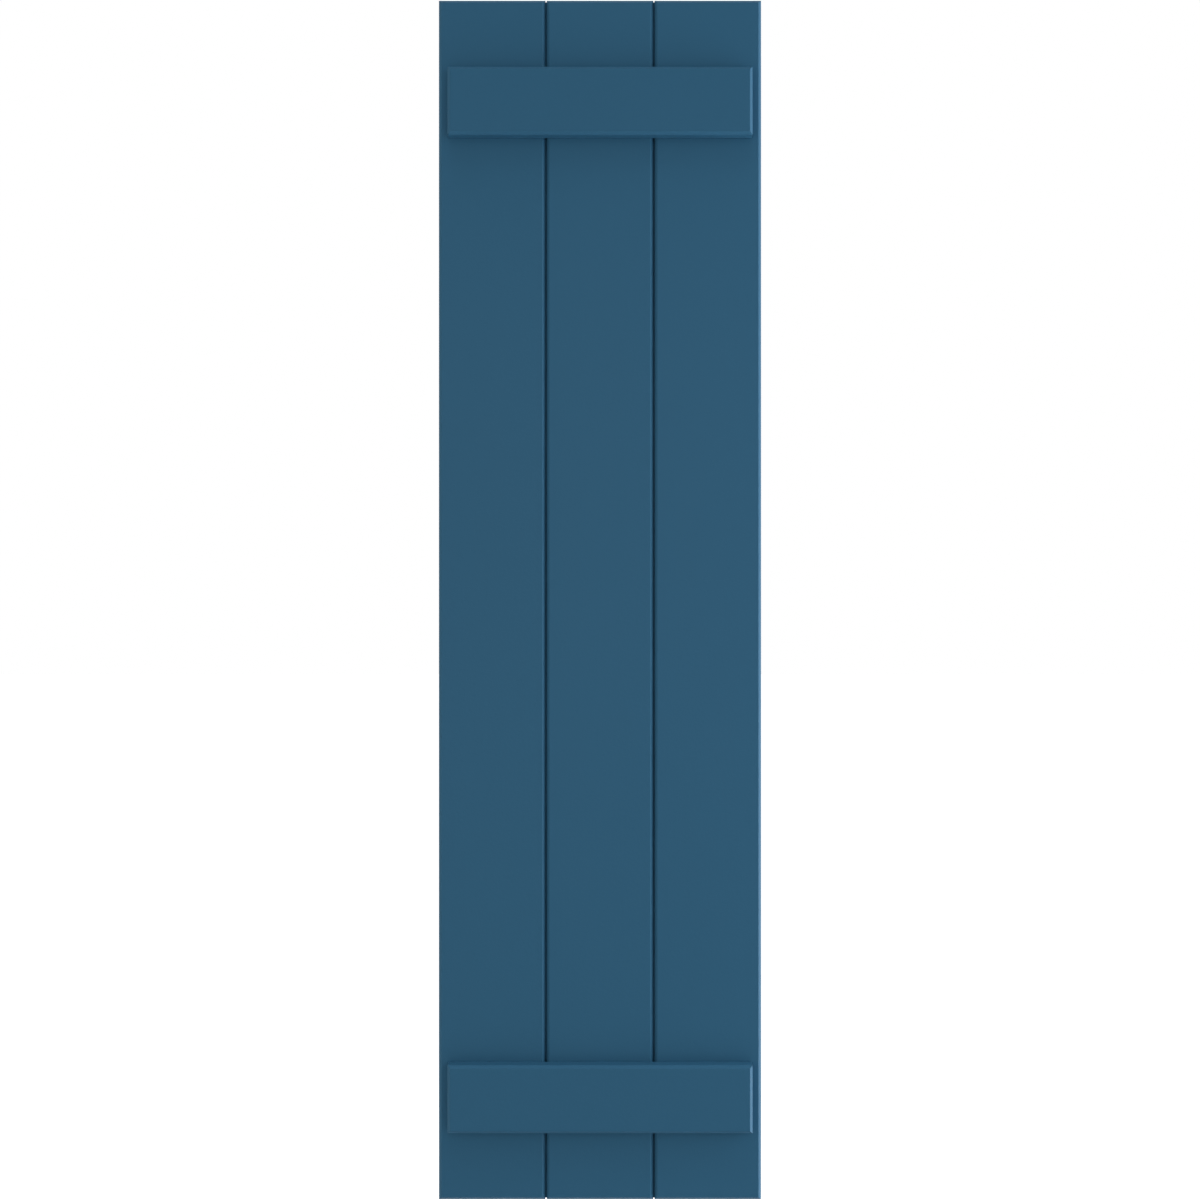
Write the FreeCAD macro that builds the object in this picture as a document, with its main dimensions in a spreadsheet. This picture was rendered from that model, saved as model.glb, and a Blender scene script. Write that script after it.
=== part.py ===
import FreeCAD, Part
import os
import Sketcher

# Board and batten shutter, in millimetres.
# Three tongue-and-groove boards stand side by side with V joints between their faces.
# Two bevelled battens lie flat across the front and are screwed to the boards from the back.
# Frame: +X to the viewer's right, +Y towards the wall, +Z up.
# The origin is the middle of the back face, which lies flat on the wall.

# Driving sizes: name, value and meaning
SIZES = [
    ("shutter_height", 1016, "length of every board"),
    ("board_width", 90.22, "face of one board from shoulder to shoulder"),
    ("board_thickness", 19.05, "thickness of the boards"),
    ("board_chamfer", 2.38, "bevel round the face of a board, half of a V joint"),
    ("joint_gap", 1.19, "slot left open at the bottom of a V joint"),
    ("tongue_length", 6.35, "how far a tongue stands out of its shoulder"),
    ("tongue_thickness", 6.35, "thickness of a tongue"),
    ("tongue_tip_chamfer", 0.8, "lead-in bevel on the tip of a tongue"),
    ("groove_side_clearance", 0.2, "play on each side of a tongue in its groove"),
    ("groove_end_clearance", 0.8, "room left past the tip of a tongue"),
    ("batten_width", 57.15, "height of a batten on the face of the boards"),
    ("batten_thickness", 12.7, "how far a batten stands out from the boards"),
    ("batten_chamfer", 2.38, "bevel round the face of a batten"),
    ("batten_side_inset", 8.3, "boards left bare at each end of a batten"),
    ("batten_end_inset", 60, "boards left bare between a batten and the shutter's end"),
    ("screw_hole_diameter", 4.5, "clearance hole for a batten screw"),
    ("screw_head_diameter", 9, "width of the countersink for a screw head"),
    ("screw_board_edge", 22, "from the shoulder of a board to a screw's axis"),
    ("screw_batten_edge", 14.5, "from the long edge of a batten to a screw's axis"),
]
COUNTERSINK_ANGLE = 90

# Sizes worked out from the driving ones
BOARD_PITCH = "(Sizes.board_width + Sizes.joint_gap)"
HALF_BOARD = "(Sizes.board_width / 2)"
HALF_HEIGHT = "(Sizes.shutter_height / 2)"
HALF_WIDTH = f"({HALF_BOARD} + {BOARD_PITCH})"
HALF_BATTEN_LENGTH = f"({HALF_WIDTH} - Sizes.batten_side_inset)"
HALF_BATTEN_WIDTH = "(Sizes.batten_width / 2)"
BATTEN_HEIGHT = f"({HALF_HEIGHT} - Sizes.batten_end_inset - {HALF_BATTEN_WIDTH})"
TONGUE_MIDDLE = "(-Sizes.board_thickness / 2)"
HALF_TONGUE = "(Sizes.tongue_thickness / 2)"
HALF_GROOVE = f"({HALF_TONGUE} + Sizes.groove_side_clearance)"
GROOVE_DEPTH = "(Sizes.tongue_length - Sizes.joint_gap + Sizes.groove_end_clearance)"
SCREW_ACROSS = f"({HALF_BOARD} - Sizes.screw_board_edge)"
SCREW_OFF_BATTEN = f"({HALF_BATTEN_WIDTH} - Sizes.screw_batten_edge)"

doc = FreeCAD.newDocument("shutter")
sheet = doc.addObject("Spreadsheet::Sheet", "Sizes")
for row, (alias, number, meaning) in enumerate(SIZES, start=1):
    sheet.set(f"A{row}", meaning)
    sheet.set(f"B{row}", str(number))
    sheet.setAlias(f"B{row}", alias)
doc.recompute()


def value(expression):
    """The number that an expression in the named sizes comes to."""
    return float(sheet.evalExpression(expression))


def new_body(label, across, depth, up):
    """A body whose place in the shutter follows three expressions."""
    body = doc.addObject("PartDesign::Body", label)
    body.Label = label
    body.setExpression("Placement.Base.x", across)
    body.setExpression("Placement.Base.y", depth)
    body.setExpression("Placement.Base.z", up)
    return body


def new_sketch(body, name, role):
    """An empty sketch on one of the body's own origin planes."""
    sketch = body.newObject("Sketcher::SketchObject", f"{body.Name}_{name}")
    for plane in body.Origin.OriginFeatures:
        if plane.Role == role:
            sketch.AttachmentSupport = [(plane, "")]
    sketch.MapMode = "FlatFace"
    return sketch


def hold_point(sketch, geometry, point, across, up):
    """Holds a point of the sketch at two distances from the origin."""
    for kind, expression in (("DistanceX", across), ("DistanceY", up)):
        distance = Sketcher.Constraint(kind, -1, 1, geometry, point, value(expression))
        number = sketch.addConstraint(distance)
        sketch.setExpression(f"Constraints[{number}]", expression)


def outline(body, name, role, corners):
    """A closed outline of straight lines, with every corner held."""
    sketch = new_sketch(body, name, role)
    points = [FreeCAD.Vector(value(across), value(up), 0) for across, up in corners]
    count = len(points)
    for index in range(count):
        sketch.addGeometry(Part.LineSegment(points[index], points[(index + 1) % count]), False)
    for index in range(count):
        sketch.addConstraint(Sketcher.Constraint("Coincident", index, 2, (index + 1) % count, 1))
    for index, (across, up) in enumerate(corners):
        hold_point(sketch, index, 1, across, up)
    return sketch


def rectangle(body, name, role, left, right, bottom, top):
    """A rectangular outline between four distances from the origin."""
    corners = [(left, bottom), (right, bottom), (right, top), (left, top)]
    return outline(body, name, role, corners)


def new_feature(body, kind, name, sketch):
    """A feature of the body made from a sketch."""
    feature = body.newObject(f"PartDesign::{kind}", f"{body.Name}_{name}")
    feature.Profile = sketch
    return feature


def slab(body, half_width, half_height, thickness, chamfer):
    """A flat piece with its back on the XZ plane and a bevel round its front face."""
    face = rectangle(body, "face", "XZ_Plane", f"-{half_width}", half_width, f"-{half_height}", half_height)
    blank = new_feature(body, "Pad", "blank", face)
    blank.setExpression("Length", thickness)
    doc.recompute()
    front = blank.Shape.BoundBox.YMin
    front_edges = []
    for number, edge in enumerate(blank.Shape.Edges, start=1):
        if all(abs(vertex.Y - front) < 0.001 for vertex in edge.Vertexes):
            front_edges.append(f"Edge{number}")
    bevel = body.newObject("PartDesign::Chamfer", f"{body.Name}_bevel")
    bevel.Base = (blank, front_edges)
    bevel.setExpression("Size", chamfer)
    doc.recompute()


def plough_groove(body):
    """Cuts the groove along the right edge of a board."""
    left = f"{HALF_BOARD} - {GROOVE_DEPTH}"
    bottom = f"{TONGUE_MIDDLE} - {HALF_GROOVE}"
    top = f"{TONGUE_MIDDLE} + {HALF_GROOVE}"
    section = rectangle(body, "groove_section", "XY_Plane", left, HALF_BOARD, bottom, top)
    groove = new_feature(body, "Pocket", "groove", section)
    groove.Type = "ThroughAll"
    groove.SideType = "Symmetric"
    doc.recompute()


def add_tongue(body):
    """Adds the tongue along the left edge of a board, with a bevelled tip."""
    root = f"-{HALF_BOARD}"
    tip = f"-{HALF_BOARD} - Sizes.tongue_length"
    neck = f"{tip} + Sizes.tongue_tip_chamfer"
    front = f"{TONGUE_MIDDLE} - {HALF_TONGUE}"
    back = f"{TONGUE_MIDDLE} + {HALF_TONGUE}"
    tip_front = f"{front} + Sizes.tongue_tip_chamfer"
    tip_back = f"{back} - Sizes.tongue_tip_chamfer"
    corners = [(root, front), (root, back), (neck, back), (tip, tip_back), (tip, tip_front), (neck, front)]
    section = outline(body, "tongue_section", "XY_Plane", corners)
    tongue = new_feature(body, "Pad", "tongue", section)
    tongue.SideType = "Symmetric"
    tongue.setExpression("Length", "Sizes.shutter_height")
    doc.recompute()


def drill_screw_holes(body):
    """Countersinks two staggered screw holes behind each batten, from the back of a board."""
    sketch = new_sketch(body, "screw_holes", "XZ_Plane")
    places = [
        (f"-{SCREW_ACROSS}", f"{BATTEN_HEIGHT} + {SCREW_OFF_BATTEN}"),
        (SCREW_ACROSS, f"{BATTEN_HEIGHT} - {SCREW_OFF_BATTEN}"),
        (f"-{SCREW_ACROSS}", f"-{BATTEN_HEIGHT} + {SCREW_OFF_BATTEN}"),
        (SCREW_ACROSS, f"-{BATTEN_HEIGHT} - {SCREW_OFF_BATTEN}"),
    ]
    radius = "Sizes.screw_hole_diameter / 2"
    for index, (across, up) in enumerate(places):
        centre = FreeCAD.Vector(value(across), value(up), 0)
        circle = Part.Circle(centre, FreeCAD.Vector(0, 0, 1), value(radius))
        sketch.addGeometry(circle, False)
        hold_point(sketch, index, 3, across, up)
        number = sketch.addConstraint(Sketcher.Constraint("Radius", index, value(radius)))
        sketch.setExpression(f"Constraints[{number}]", radius)
    doc.recompute()
    solid_volume = body.Shape.Volume
    holes = new_feature(body, "Hole", "countersunk_holes", sketch)
    doc.recompute()
    holes.ThreadType = "None"
    holes.DepthType = "ThroughAll"
    holes.Reversed = True
    holes.HoleCutType = "Countersink"
    holes.HoleCutCountersinkAngle = COUNTERSINK_ANGLE
    holes.setExpression("Diameter", "Sizes.screw_hole_diameter")
    holes.setExpression("HoleCutDiameter", "Sizes.screw_head_diameter")
    doc.recompute()
    if body.Shape.Volume > solid_volume - 1:
        raise RuntimeError(f"{body.Label} lost no volume to its screw holes")


def new_board(label, across, has_tongue, has_groove):
    """A board with a tongue on its left edge, a groove in its right edge, or both."""
    body = new_body(label, across, "0", "0")
    slab(body, HALF_BOARD, HALF_HEIGHT, "Sizes.board_thickness", "Sizes.board_chamfer")
    if has_groove:
        plough_groove(body)
    if has_tongue:
        add_tongue(body)
    drill_screw_holes(body)
    return body


def new_batten(label, up):
    """A batten lying flat on the front of the boards."""
    body = new_body(label, "0", "-Sizes.board_thickness", up)
    slab(body, HALF_BATTEN_LENGTH, HALF_BATTEN_WIDTH, "Sizes.batten_thickness", "Sizes.batten_chamfer")
    return body


pieces = [
    new_board("left_board", f"-{BOARD_PITCH}", has_tongue=False, has_groove=True),
    new_board("middle_board", "0", has_tongue=True, has_groove=True),
    new_board("right_board", BOARD_PITCH, has_tongue=True, has_groove=False),
    new_batten("top_batten", BATTEN_HEIGHT),
    new_batten("bottom_batten", f"-{BATTEN_HEIGHT}"),
]
doc.recompute()

# Nothing is written unless every object and every piece is sound
for item in doc.Objects:
    if "Invalid" in item.State or "Error" in item.State:
        raise RuntimeError(f"{item.Label} failed: {item.State}")
for piece in pieces:
    if piece.Shape.isNull() or not piece.Shape.isValid():
        raise RuntimeError(f"{piece.Label} has no valid shape")
    if len(piece.Shape.Solids) != 1:
        raise RuntimeError(f"{piece.Label} is not one solid")

os.makedirs("parts", exist_ok=True)
for piece in pieces:
    piece.Shape.exportStep(f"parts/{piece.Label}.step")
    box = piece.Shape.BoundBox
    print(piece.Label, f"{piece.Shape.Volume / 1000:.1f} cm3",
          f"X {box.XMin:.2f} to {box.XMax:.2f}, Y {box.YMin:.2f} to {box.YMax:.2f},",
          f"Z {box.ZMin:.2f} to {box.ZMax:.2f}")
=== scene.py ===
import math

import bmesh
import bpy
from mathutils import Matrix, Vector


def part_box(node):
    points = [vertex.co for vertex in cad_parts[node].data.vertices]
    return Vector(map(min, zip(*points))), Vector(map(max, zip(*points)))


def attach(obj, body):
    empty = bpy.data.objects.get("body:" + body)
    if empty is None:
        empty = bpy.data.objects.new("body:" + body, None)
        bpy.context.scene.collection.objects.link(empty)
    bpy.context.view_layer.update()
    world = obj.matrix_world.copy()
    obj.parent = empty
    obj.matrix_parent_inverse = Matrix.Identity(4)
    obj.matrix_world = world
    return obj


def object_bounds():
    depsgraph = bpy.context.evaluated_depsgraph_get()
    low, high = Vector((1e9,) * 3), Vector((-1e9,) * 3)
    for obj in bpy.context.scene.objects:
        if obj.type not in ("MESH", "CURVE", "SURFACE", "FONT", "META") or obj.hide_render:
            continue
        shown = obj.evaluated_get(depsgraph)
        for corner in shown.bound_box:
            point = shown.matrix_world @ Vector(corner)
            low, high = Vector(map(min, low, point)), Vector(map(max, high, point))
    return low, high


# Board and batten shutter: satin blue paint on the boards and battens, and the batten screws in the back.
# Metres, +X to the viewer's right, +Y into the wall, +Z up, origin in the middle of the back face.

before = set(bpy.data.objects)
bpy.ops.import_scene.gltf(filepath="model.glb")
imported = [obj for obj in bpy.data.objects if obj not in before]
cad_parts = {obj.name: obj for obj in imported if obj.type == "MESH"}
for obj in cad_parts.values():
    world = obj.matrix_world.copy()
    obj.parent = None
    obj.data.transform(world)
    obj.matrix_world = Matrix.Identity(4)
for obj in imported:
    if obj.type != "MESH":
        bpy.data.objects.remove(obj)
cad_low, cad_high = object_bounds()
scene = bpy.context.scene

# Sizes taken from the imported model
BOARDS = ("left_board", "middle_board", "right_board")
BATTENS = ("top_batten", "bottom_batten")
board_low, board_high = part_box("left_board")
BOARD_WIDTH = board_high.x - board_low.x
SHUTTER_HEIGHT = cad_high.z - cad_low.z

# The photograph's framing: a square picture, nearly filled by the height of the shutter
PHOTO_SIDE = 1200
OUTLINE_HEIGHT = 1198.4
LENS = 50
SENSOR = 36
BOARD_BEVEL = 0.00238

# Batten screws: places, body and thread
SCREW_BOARD_EDGE = 0.022
SCREW_BATTEN_EDGE = 0.0145
SCREW_HEAD_RADIUS = 0.0041
SCREW_SHANK_RADIUS = 0.0021
SCREW_CORE_RADIUS = 0.0014
SCREW_LENGTH = 0.0285
SCREW_TIP_LENGTH = 0.005
SCREW_THREAD_START = 0.014
SCREW_PITCH = 0.0018
SCREW_SINK = 0.0004
SCREW_SIDES = 32
RINGS_PER_PITCH = 12
TURN_BETWEEN_SCREWS = math.radians(137)

# The cross recess in a screw head, at its mouth and at its floor
RECESS_ARM = 0.0024
RECESS_HALF_WIDTH = 0.0006
RECESS_FLOOR_ARM = 0.0011
RECESS_FLOOR_HALF_WIDTH = 0.0004
RECESS_DEPTH = 0.0017

# Paint: a low index of refraction keeps the white surroundings out of the dark blue
BLUE = (0.0237, 0.0900, 0.1600, 1)
BLUE_PALE = (0.0245, 0.0918, 0.1628, 1)
BLUE_EDGE = (0.0281, 0.0970, 0.1700, 1)
PAINT_IOR = 1.16
PAINT_SMOOTH = 0.40
PAINT_ROUGH = 0.46
CUT_END_ROUGH = 0.62

# Marks in the paint: how many lie in a metre, how far they are drawn out and how finely they break up
DRIFT_SCALE = 3.5
STREAK_SCALE = 160
STREAK_STRETCH = 0.05
PEEL_SCALE = 320
STIPPLE_SCALE = 1100
SAW_SCALE = 900
SAW_STRETCH = 0.04
COARSE_DETAIL = 3
FINE_DETAIL = 2

# Height of the marks and rounding of the arrises
PEEL_RELIEF = 0.00010
STIPPLE_RELIEF = 0.00005
STREAK_RELIEF = 0.00004
SAW_RELIEF = 0.00015
ARRIS_RADIUS = 0.0006
ARRIS_SAMPLES = 4

# Ranges over which a mask goes from nought to one: most of a noise, cut ends by facing, arrises by turning
NOISE_RANGE = (0.3, 0.7)
CUT_END_RANGE = (0.85, 0.95)
ARRIS_RANGE = (0.995, 0.90)

# Plated steel of the screws
STEEL = (0.52, 0.51, 0.48, 1)
STEEL_DARK = (0.36, 0.35, 0.33, 1)
STEEL_SMOOTH = 0.28
STEEL_ROUGH = 0.42
TARNISH_SCALE = 500
TURNING_SCALE = 1400
TURNING_WOBBLE = 1
TURNING_RELIEF = 0.000008

# Studio
WHITE = (1, 1, 1, 1)
FLOOR_PALE = (0.62, 0.62, 0.62, 1)
FLOOR_ROUGH = 0.9
FLOOR_DROP = 0.9
FLOOR_SIDE = 60
FLOOR_GLOW = 0.82
SKY_FRONT = 0.44
SKY_BACK = 0.20
SKY_BLEND = 0.25
WARM = (1.0, 0.88, 0.76)
COOL = (0.82, 0.95, 1.0)
NEUTRAL = (1, 1, 1)


def new_material(name):
    """A material with its shader, ready for nodes."""
    material = bpy.data.materials.new(name)
    material.use_nodes = True
    nodes = material.node_tree.nodes
    shader = nodes["Principled BSDF"]
    return material, nodes, material.node_tree.links, shader


def noise(nodes, links, vector, scale, detail):
    """A noise texture over the given coordinates."""
    texture = nodes.new("ShaderNodeTexNoise")
    texture.inputs["Scale"].default_value = scale
    texture.inputs["Detail"].default_value = detail
    links.new(vector, texture.inputs["Vector"])
    return texture.outputs["Fac"]


def stretched(nodes, links, vector, axis, share):
    """Coordinates squeezed along one axis, which draws marks out along it."""
    scale = [1, 1, 1]
    scale["XYZ".index(axis)] = share
    mapping = nodes.new("ShaderNodeMapping")
    mapping.inputs["Scale"].default_value = scale
    links.new(vector, mapping.inputs["Vector"])
    return mapping.outputs["Vector"]


def remap(nodes, links, value, from_range, to_low, to_high):
    """A value moved from one range to another, and held inside it."""
    node = nodes.new("ShaderNodeMapRange")
    node.inputs["From Min"].default_value = from_range[0]
    node.inputs["From Max"].default_value = from_range[1]
    node.inputs["To Min"].default_value = to_low
    node.inputs["To Max"].default_value = to_high
    links.new(value, node.inputs["Value"])
    return node.outputs["Result"]


def blend_colour(nodes, links, factor, first, second):
    """A colour between two colours or colour sockets."""
    node = nodes.new("ShaderNodeMix")
    node.data_type = "RGBA"
    links.new(factor, node.inputs["Factor"])
    for name, colour in (("A", first), ("B", second)):
        socket = [s for s in node.inputs if s.name == name and s.type == "RGBA"][0]
        if isinstance(colour, tuple):
            socket.default_value = colour
        else:
            links.new(colour, socket)
    return [s for s in node.outputs if s.type == "RGBA"][0]


def math_node(nodes, links, operation, first, second):
    """The result of a sum on a socket and a socket or number."""
    node = nodes.new("ShaderNodeMath")
    node.operation = operation
    links.new(first, node.inputs[0])
    if isinstance(second, (int, float)):
        node.inputs[1].default_value = second
    else:
        links.new(second, node.inputs[1])
    return node.outputs[0]


def add_bump(nodes, links, height, distance, normal):
    """A normal roughened by a height, on top of another normal."""
    node = nodes.new("ShaderNodeBump")
    node.inputs["Distance"].default_value = distance
    links.new(height, node.inputs["Height"])
    if normal is not None:
        links.new(normal, node.inputs["Normal"])
    return node.outputs["Normal"]


def paint_material(name, along):
    """Sprayed satin paint with orange peel and slow drifts of tone, thin on arrises and dull on cut ends."""
    material, nodes, links, shader = new_material(name)
    place = nodes.new("ShaderNodeTexCoord")
    coordinates = place.outputs["Object"]
    drift = noise(nodes, links, coordinates, DRIFT_SCALE, COARSE_DETAIL)
    lengthwise = stretched(nodes, links, coordinates, along, STREAK_STRETCH)
    streaks = noise(nodes, links, lengthwise, STREAK_SCALE, COARSE_DETAIL)
    peel = noise(nodes, links, coordinates, PEEL_SCALE, FINE_DETAIL)
    stipple = noise(nodes, links, coordinates, STIPPLE_SCALE, FINE_DETAIL)
    through = stretched(nodes, links, coordinates, "Y", SAW_STRETCH)
    saw_marks = noise(nodes, links, through, SAW_SCALE, FINE_DETAIL)

    # Cut ends are the faces square to the length of the piece
    facing = nodes.new("ShaderNodeSeparateXYZ")
    links.new(place.outputs["Normal"], facing.inputs[0])
    square = math_node(nodes, links, "ABSOLUTE", facing.outputs[along], 0)
    cut_end = remap(nodes, links, square, CUT_END_RANGE, 0, 1)

    # Arrises are where the rounded normal turns away from the flat one
    arris = nodes.new("ShaderNodeBevel")
    arris.samples = ARRIS_SAMPLES
    arris.inputs["Radius"].default_value = ARRIS_RADIUS
    flat = nodes.new("ShaderNodeNewGeometry")
    turned = nodes.new("ShaderNodeVectorMath")
    turned.operation = "DOT_PRODUCT"
    links.new(arris.outputs["Normal"], turned.inputs[0])
    links.new(flat.outputs["True Normal"], turned.inputs[1])
    thin = remap(nodes, links, turned.outputs["Value"], ARRIS_RANGE, 0, 1)

    drift_share = remap(nodes, links, drift, NOISE_RANGE, 0, 1)
    field = blend_colour(nodes, links, drift_share, BLUE, BLUE_PALE)
    links.new(blend_colour(nodes, links, thin, field, BLUE_EDGE), shader.inputs["Base Color"])
    sprayed = remap(nodes, links, streaks, NOISE_RANGE, PAINT_SMOOTH, PAINT_ROUGH)
    dulled = math_node(nodes, links, "MULTIPLY", cut_end, CUT_END_ROUGH)
    links.new(math_node(nodes, links, "MAXIMUM", sprayed, dulled), shader.inputs["Roughness"])
    shader.inputs["IOR"].default_value = PAINT_IOR

    sawn = math_node(nodes, links, "MULTIPLY", saw_marks, cut_end)
    streaked = add_bump(nodes, links, streaks, STREAK_RELIEF, arris.outputs["Normal"])
    peeled = add_bump(nodes, links, peel, PEEL_RELIEF, streaked)
    stippled = add_bump(nodes, links, stipple, STIPPLE_RELIEF, peeled)
    links.new(add_bump(nodes, links, sawn, SAW_RELIEF, stippled), shader.inputs["Normal"])
    return material


def steel_material():
    """Plated steel, a little tarnished, with faint turning rings on the screw heads."""
    material, nodes, links, shader = new_material("plated_steel")
    coordinates = nodes.new("ShaderNodeTexCoord").outputs["Object"]
    tarnish = noise(nodes, links, coordinates, TARNISH_SCALE, COARSE_DETAIL)
    share = remap(nodes, links, tarnish, NOISE_RANGE, 0, 1)
    links.new(blend_colour(nodes, links, share, STEEL, STEEL_DARK), shader.inputs["Base Color"])
    dulled = remap(nodes, links, tarnish, NOISE_RANGE, STEEL_SMOOTH, STEEL_ROUGH)
    links.new(dulled, shader.inputs["Roughness"])
    shader.inputs["Metallic"].default_value = 1
    rings = nodes.new("ShaderNodeTexWave")
    rings.wave_type = "RINGS"
    rings.rings_direction = "Y"
    rings.inputs["Scale"].default_value = TURNING_SCALE
    rings.inputs["Distortion"].default_value = TURNING_WOBBLE
    links.new(coordinates, rings.inputs["Vector"])
    links.new(add_bump(nodes, links, rings.outputs["Fac"], TURNING_RELIEF, None), shader.inputs["Normal"])
    return material


def thread_radius(depth, turn):
    """The radius of a screw's thread at a depth below the head and a share of a turn round the axis."""
    ridge = max(0, math.cos(2 * math.pi * (depth / SCREW_PITCH - turn))) ** 2
    radius = SCREW_CORE_RADIUS + (SCREW_SHANK_RADIUS - SCREW_CORE_RADIUS) * ridge
    return radius * min(1, (SCREW_LENGTH - depth) / SCREW_TIP_LENGTH)


def screw_ring(shape, depth, radii):
    """A ring of corners round the axis of a screw, each at its own radius."""
    ring = []
    for side, radius in enumerate(radii):
        angle = 2 * math.pi * side / SCREW_SIDES
        ring.append(shape.verts.new((radius * math.cos(angle), -depth, radius * math.sin(angle))))
    return ring


def cross_loop(shape, arm, half_width, depth):
    """The corners of a plus-shaped outline at a depth below the screw head."""
    quarter = [(arm, -half_width), (arm, half_width), (half_width, half_width)]
    corners = []
    for turn in range(4):
        angle = turn * math.pi / 2
        for across, up in quarter:
            x = across * math.cos(angle) - up * math.sin(angle)
            z = across * math.sin(angle) + up * math.cos(angle)
            corners.append(shape.verts.new((x, -depth, z)))
    return corners


def join_loops(shape, first, second):
    """Faces between two closed loops with as many corners each."""
    count = len(first)
    for index in range(count):
        after = (index + 1) % count
        shape.faces.new((first[index], first[after], second[after], second[index]))


def loop_edges(shape, loop):
    """The edges round a closed loop of corners."""
    return [shape.edges.get((corner, loop[(index + 1) % len(loop)])) for index, corner in enumerate(loop)]


def screw_mesh():
    """A countersunk wood screw with a cross recess, its head at the origin and its point towards -Y."""
    shape = bmesh.new()
    neck_depth = SCREW_HEAD_RADIUS - SCREW_SHANK_RADIUS
    rings = [
        screw_ring(shape, 0, [SCREW_HEAD_RADIUS] * SCREW_SIDES),
        screw_ring(shape, neck_depth, [SCREW_SHANK_RADIUS] * SCREW_SIDES),
        screw_ring(shape, SCREW_THREAD_START, [SCREW_SHANK_RADIUS] * SCREW_SIDES),
    ]
    step = SCREW_PITCH / RINGS_PER_PITCH
    for count in range(1, int((SCREW_LENGTH - SCREW_THREAD_START) / step)):
        depth = SCREW_THREAD_START + count * step
        radii = [thread_radius(depth, side / SCREW_SIDES) for side in range(SCREW_SIDES)]
        rings.append(screw_ring(shape, depth, radii))
    for upper, lower in zip(rings, rings[1:]):
        join_loops(shape, upper, lower)
    tip = shape.verts.new((0, -SCREW_LENGTH, 0))
    for side in range(SCREW_SIDES):
        shape.faces.new((rings[-1][side], rings[-1][(side + 1) % SCREW_SIDES], tip))

    mouth = cross_loop(shape, RECESS_ARM, RECESS_HALF_WIDTH, 0)
    floor = cross_loop(shape, RECESS_FLOOR_ARM, RECESS_FLOOR_HALF_WIDTH, RECESS_DEPTH)
    join_loops(shape, mouth, floor)
    shape.faces.new(floor)
    head_edges = loop_edges(shape, rings[0]) + loop_edges(shape, mouth)
    bmesh.ops.triangle_fill(shape, use_beauty=True, edges=head_edges)
    bmesh.ops.recalc_face_normals(shape, faces=shape.faces)
    mesh = bpy.data.meshes.new("batten_screw")
    shape.to_mesh(mesh)
    shape.free()
    return mesh


def add_screws():
    """Two staggered screws through each board behind each batten, each left at its own turn."""
    mesh = screw_mesh()
    mesh.materials.append(steel_material())
    turn = 0
    for batten in BATTENS:
        low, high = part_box(batten)
        for board in BOARDS:
            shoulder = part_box(board)[1].x
            places = (
                ("left", shoulder - BOARD_WIDTH + SCREW_BOARD_EDGE, high.z - SCREW_BATTEN_EDGE),
                ("right", shoulder - SCREW_BOARD_EDGE, low.z + SCREW_BATTEN_EDGE),
            )
            for side, across, up in places:
                turn += TURN_BETWEEN_SCREWS
                screw = bpy.data.objects.new(f"{batten}_screw_{board}_{side}", mesh)
                screw.location = (across, -SCREW_SINK, up)
                screw.rotation_euler.y = turn
                scene.collection.objects.link(screw)
                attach(screw, "root")


def paint_the_shutter():
    """Gives every board and batten its paint."""
    board_paint = paint_material("board_paint_satin", "Z")
    batten_paint = paint_material("batten_paint_satin", "X")
    for names, paint in ((BOARDS, board_paint), (BATTENS, batten_paint)):
        for name in names:
            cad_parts[name].material_slots[0].material = paint


def seen_directly(nodes, links):
    """One where a ray comes from the camera or a mirror-like or clear surface, nought for soft light."""
    path = nodes.new("ShaderNodeLightPath")
    camera_or_mirror = math_node(nodes, links, "MAXIMUM", path.outputs["Is Camera Ray"],
                                 path.outputs["Is Glossy Ray"])
    return math_node(nodes, links, "MAXIMUM", camera_or_mirror, path.outputs["Is Transmission Ray"])


def build_world():
    """A soft sky, brighter in front than behind, for the light, and plain white for what the camera sees."""
    world = bpy.data.worlds.new("studio")
    scene.world = world
    world.use_nodes = True
    nodes = world.node_tree.nodes
    links = world.node_tree.links
    direction = nodes.new("ShaderNodeSeparateXYZ")
    links.new(nodes.new("ShaderNodeTexCoord").outputs["Generated"], direction.inputs[0])
    level = remap(nodes, links, direction.outputs["Y"], (-SKY_BLEND, SKY_BLEND), SKY_FRONT, SKY_BACK)
    sky = nodes["Background"]
    sky.name = "soft_sky"
    sky.inputs["Color"].default_value = WHITE
    links.new(level, sky.inputs["Strength"])
    white = nodes.new("ShaderNodeBackground")
    white.name = "white_backdrop"
    white.inputs["Color"].default_value = WHITE
    white.inputs["Strength"].default_value = 1
    mix = nodes.new("ShaderNodeMixShader")
    links.new(seen_directly(nodes, links), mix.inputs["Fac"])
    links.new(sky.outputs["Background"], mix.inputs[1])
    links.new(white.outputs["Background"], mix.inputs[2])
    links.new(mix.outputs["Shader"], nodes["World Output"].inputs["Surface"])


def build_floor():
    """A pale floor well below the shutter, white to the camera apart from soft shadows."""
    mesh = bpy.data.meshes.new("floor")
    half = FLOOR_SIDE / 2
    height = cad_low.z - FLOOR_DROP
    corners = [(-half, -half, height), (half, -half, height), (half, half, height), (-half, half, height)]
    mesh.from_pydata(corners, [], [(0, 1, 2, 3)])
    floor = bpy.data.objects.new("floor", mesh)
    scene.collection.objects.link(floor)
    material, nodes, links, shader = new_material("pale_floor")
    shader.inputs["Base Color"].default_value = FLOOR_PALE
    shader.inputs["Roughness"].default_value = FLOOR_ROUGH
    shader.inputs["Emission Color"].default_value = WHITE
    glow = math_node(nodes, links, "MULTIPLY", seen_directly(nodes, links), FLOOR_GLOW)
    links.new(glow, shader.inputs["Emission Strength"])
    mesh.materials.append(material)


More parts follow.
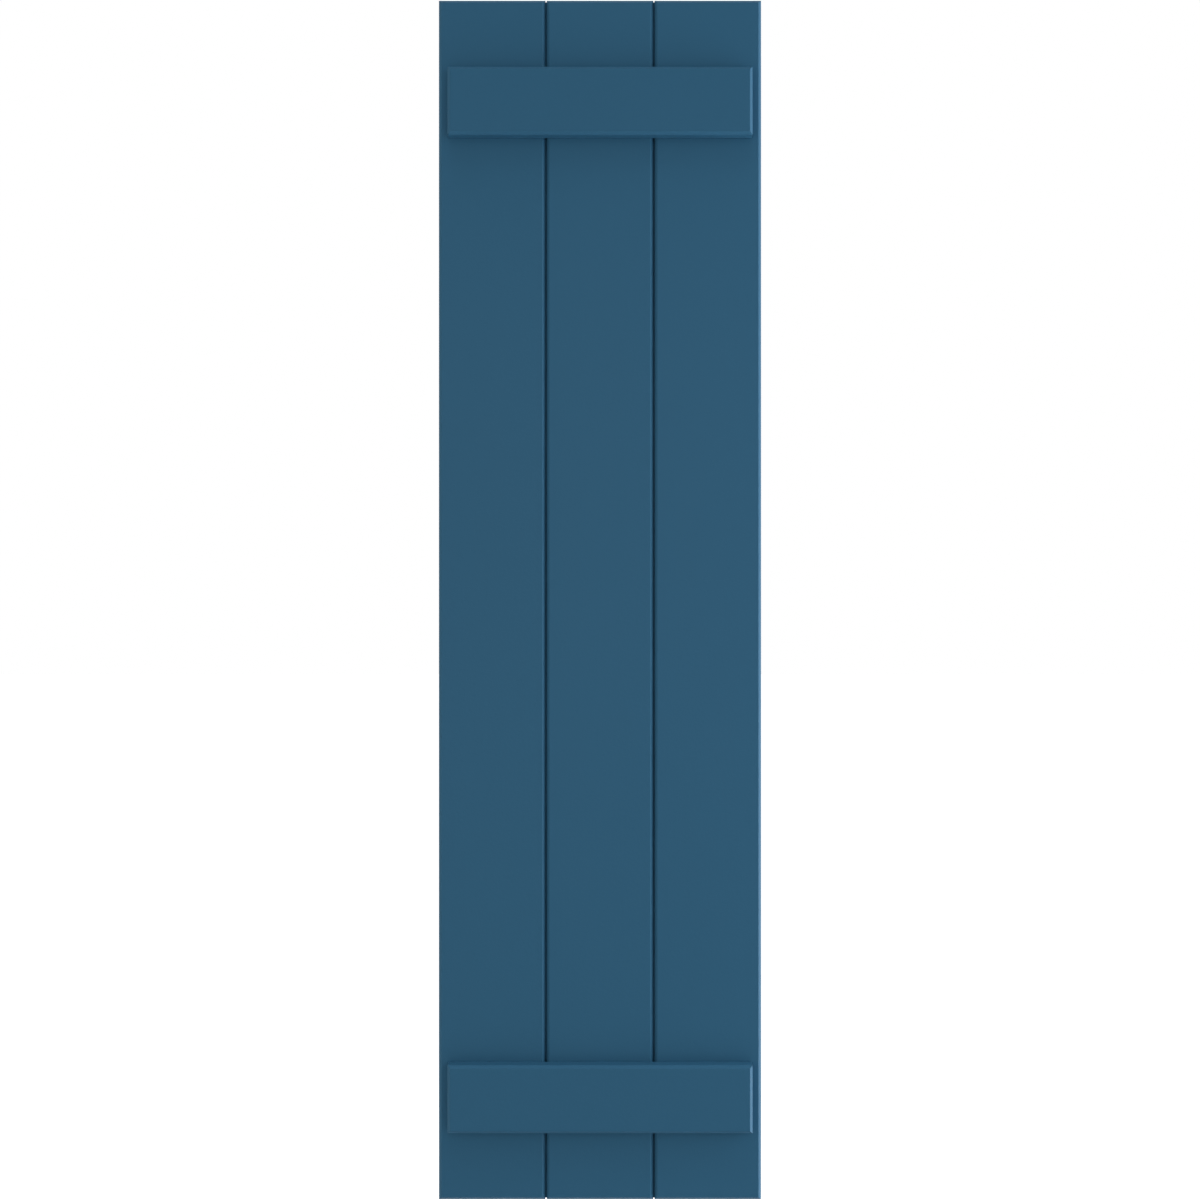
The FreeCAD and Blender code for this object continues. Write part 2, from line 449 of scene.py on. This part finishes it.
def add_panel(name, place, target, size, power, colour=NEUTRAL, in_reflections=False):
    """A soft rectangular lamp that faces a point and isn't seen by the camera."""
    data = bpy.data.lights.new(name, "AREA")
    data.shape = "RECTANGLE"
    data.size, data.size_y = size
    data.energy = power
    data.color = colour
    lamp = bpy.data.objects.new(name, data)
    lamp.location = place
    facing = Vector(target) - Vector(place)
    lamp.rotation_euler = facing.to_track_quat("-Z", "Y").to_euler()
    lamp.visible_camera = False
    lamp.visible_glossy = in_reflections
    scene.collection.objects.link(lamp)


def add_strip(name, place, target, size, power, colour=NEUTRAL):
    """A strip of light at the right, which the bevels mirror."""
    add_panel(name, place, target, size, power, colour, in_reflections=True)


def add_lamps():
    """Soft panels in front, above and at the left, strips at the right for the bevels, fill for the back."""
    middle = (0, 0, 0)
    add_panel("near_front", place=(0, -1.35, 0.2), target=(0, 0, 0.2), size=(0.7, 0.7), power=2.2)
    add_panel("far_front", place=(0, -3.0, 0), target=middle, size=(2.0, 2.0), power=8.5)
    add_panel("overhead", place=(0, -0.8, 3.0), target=middle, size=(2.0, 1.4), power=25)
    add_panel("left_panel", place=(-3.0, -0.8, 0.1), target=middle, size=(1.4, 2.0), power=27, colour=WARM)
    add_panel("near_left", place=(-0.9, -0.9, 0.05), target=(0, 0, 0.05), size=(0.3, 1.2), power=1.8,
              colour=WARM)
    add_strip("near_right", place=(1.0, -0.35, 0), target=(0, -0.1, 0), size=(0.3, 1.4), power=6.0,
              colour=COOL)
    add_strip("right_strip", place=(2.0, -0.25, 0), target=(0, -0.25, 0), size=(0.4, 2.4), power=28)
    add_strip("right_low_strip", place=(2.0, 0.15, -0.65), target=(0, 0.15, -0.65), size=(0.4, 1.2), power=27)
    add_strip("right_high_strip", place=(2.0, 0.15, 0.65), target=(0, 0.15, 0.65), size=(0.4, 1.2), power=6.2)
    add_panel("back_panel", place=(0.8, 2.6, 0.8), target=middle, size=(2.0, 2.0), power=60)


def add_camera():
    """A straight-on camera at the distance where the outline has its height in the photograph."""
    data = bpy.data.cameras.new("camera")
    data.lens = LENS
    data.sensor_width = SENSOR
    frame_height = SHUTTER_HEIGHT * PHOTO_SIDE / OUTLINE_HEIGHT
    distance = frame_height * LENS / SENSOR
    outline_depth = board_low.y + BOARD_BEVEL
    camera = bpy.data.objects.new("camera", data)
    camera.location = (0, outline_depth - distance, 0)
    camera.rotation_euler = (math.pi / 2, 0, 0)
    scene.collection.objects.link(camera)
    scene.camera = camera


paint_the_shutter()
add_screws()
build_world()
build_floor()
add_lamps()
add_camera()
scene.view_settings.view_transform = "Standard"
